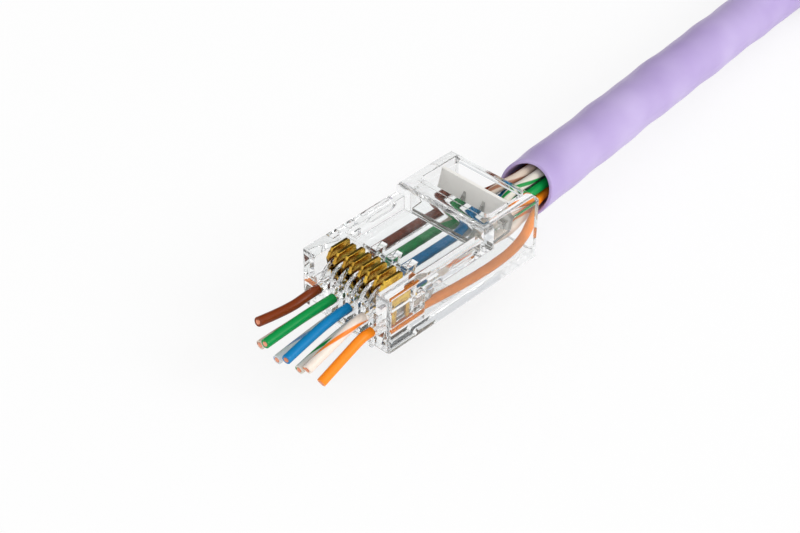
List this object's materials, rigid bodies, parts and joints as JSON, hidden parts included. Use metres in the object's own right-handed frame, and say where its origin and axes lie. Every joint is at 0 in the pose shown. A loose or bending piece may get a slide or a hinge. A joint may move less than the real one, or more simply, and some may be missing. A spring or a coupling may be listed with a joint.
{
  "type": "modular plug",
  "caption": "Clear pass-through modular data plug with gold blade contacts and spring latch, threaded on the conductors of a network cable, not yet crimped.",
  "frame": {"origin": "middle of the nose face, at the level of the body's underside", "axes": "+Y back along the plug to the cable, +Z the contact side, +X the side of contact 1; the plug goes into a jack along -Y"},
  "size_m": [0.0406, 0.1997, 0.0133],
  "materials": {
    "clear_polycarbonate": "clear, moulded gloss",
    "gold_plated_bronze": "gold flash, bright",
    "copper": "freshly cut bare copper",
    "jacket_lilac": "smooth, slightly satin",
    "tie_loop_fabric": "short soft loop pile",
    "insulation_orange": "glossy solid insulation",
    "insulation_white_orange": "glossy solid insulation",
    "insulation_white_green": "glossy solid insulation",
    "insulation_blue": "glossy solid insulation",
    "insulation_white_blue": "glossy solid insulation",
    "insulation_green": "glossy solid insulation",
    "insulation_white_brown": "glossy solid insulation",
    "insulation_brown": "glossy solid insulation"
  },
  "bodies": {
    "plug": {"housing": "clear_polycarbonate", "contact_1": "gold_plated_bronze", "insulation_pin_1_orange": "insulation_orange", "copper_pin_1_orange": "copper", "contact_2": "gold_plated_bronze", "insulation_pin_2_white_orange": "insulation_white_orange", "copper_pin_2_white_orange": "copper", "contact_3": "gold_plated_bronze", "insulation_pin_3_white_green": "insulation_white_green", "copper_pin_3_white_green": "copper", "contact_4": "gold_plated_bronze", "insulation_pin_4_blue": "insulation_blue", "copper_pin_4_blue": "copper", "contact_5": "gold_plated_bronze", "insulation_pin_5_white_blue": "insulation_white_blue", "copper_pin_5_white_blue": "copper", "contact_6": "gold_plated_bronze", "insulation_pin_6_green": "insulation_green", "copper_pin_6_green": "copper", "contact_7": "gold_plated_bronze", "insulation_pin_7_white_brown": "insulation_white_brown", "copper_pin_7_white_brown": "copper", "contact_8": "gold_plated_bronze", "insulation_pin_8_brown": "insulation_brown", "copper_pin_8_brown": "copper", "cable_jacket": "jacket_lilac", "cable_hank": "jacket_lilac", "hank_tie": "tie_loop_fabric"},
    "latch": {"latch_tab": "clear_polycarbonate"}
  },
  "joints": [
    {"name": "latch_press", "type": "hinge", "parent": "plug", "child": "latch", "pos_m": [0, 0.00175, -0.00062], "axis": [1, 0, 0], "range_deg": [0, 12], "stiffness_Nm_per_rad": 0.3}
  ]
}
